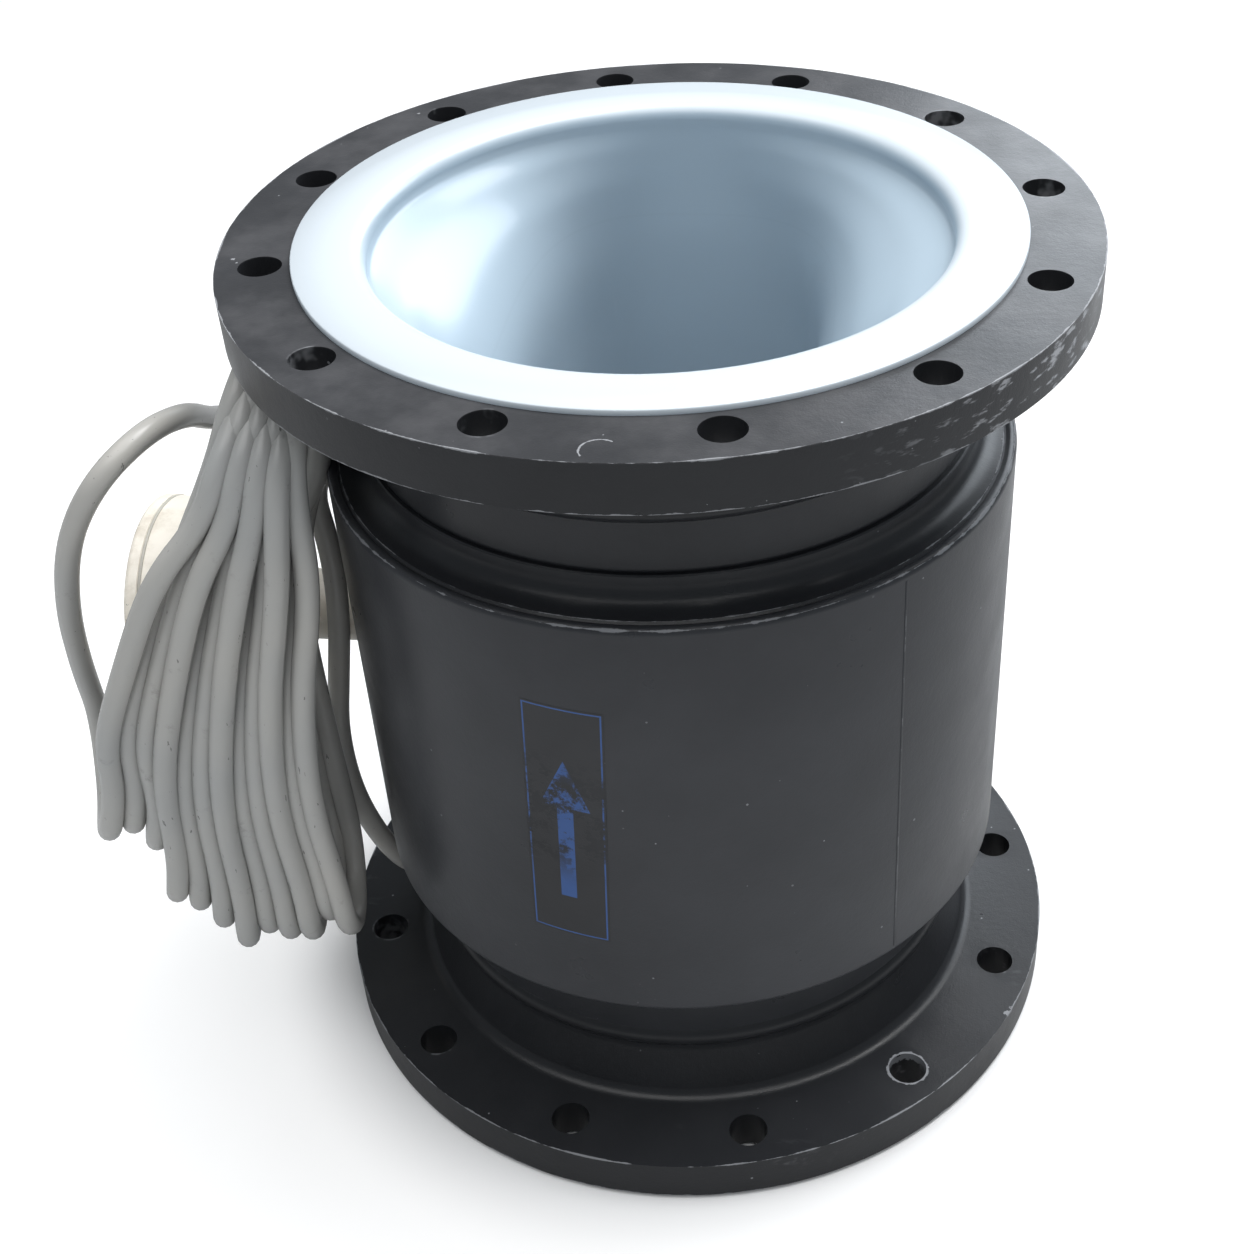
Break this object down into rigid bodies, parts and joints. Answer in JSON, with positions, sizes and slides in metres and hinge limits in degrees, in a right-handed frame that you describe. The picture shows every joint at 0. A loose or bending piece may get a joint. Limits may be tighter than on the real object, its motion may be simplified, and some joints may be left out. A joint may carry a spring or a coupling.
{
  "type": "electromagnetic flow meter",
  "caption": "Flanged electromagnetic flow sensor with a lined bore, a round housing, a side junction box and its signal cable hung in a hank.",
  "frame": {"origin": "centre of the lower liner face, which the sensor stands on", "axes": "+Z along the flow axis to the upper flange, -X out along the junction box, Y along the electrodes"},
  "size_m": [0.5705, 0.445, 0.5],
  "materials": {
    "body_paint": "charcoal textured paint, satin",
    "duct_steel": "stainless sheet",
    "liner": "pale blue-white moulded fluoropolymer, glossy",
    "core_steel": "electrical steel",
    "winding": "taped enamelled wire",
    "electrode_steel": "stainless, turned",
    "insulation": "filled plastic",
    "box_paint": "off-white enamel, satin, dirty",
    "gasket": "black rubber",
    "screw_steel": "plated steel",
    "gland_brass": "nickel-plated brass",
    "cable_sheath": "grey PVC sheath, satin"
  },
  "bodies": {
    "root": {"bottom_flange": "body_paint", "top_flange": "body_paint", "bottom_neck_pipe": "body_paint", "top_neck_pipe": "body_paint", "housing_shell": "body_paint", "bottom_end_ring": "body_paint", "top_end_ring": "body_paint", "measuring_duct": "duct_steel", "liner": "liner", "pole_right": "core_steel", "pole_left": "core_steel", "return_yoke": "core_steel", "field_coil_right": "winding", "field_coil_left": "winding", "electrode_front": "electrode_steel", "electrode_back": "electrode_steel", "electrode_washer_front": "electrode_steel", "electrode_washer_back": "electrode_steel", "electrode_nut_front": "electrode_steel", "electrode_nut_back": "electrode_steel", "electrode_bush_front": "insulation", "electrode_bush_back": "insulation", "terminal_block": "insulation", "box_neck": "box_paint", "junction_box_body": "box_paint", "junction_box_cover": "box_paint", "cover_gasket": "gasket", "gland_seal": "gasket", "terminal_screws": "screw_steel", "gland_body": "gland_brass", "gland_nut": "gland_brass", "blanking_plug": "gland_brass", "cable_lead": "cable_sheath", "cable_hank": "cable_sheath", "cable_tail": "cable_sheath"}
  },
  "joints": []
}
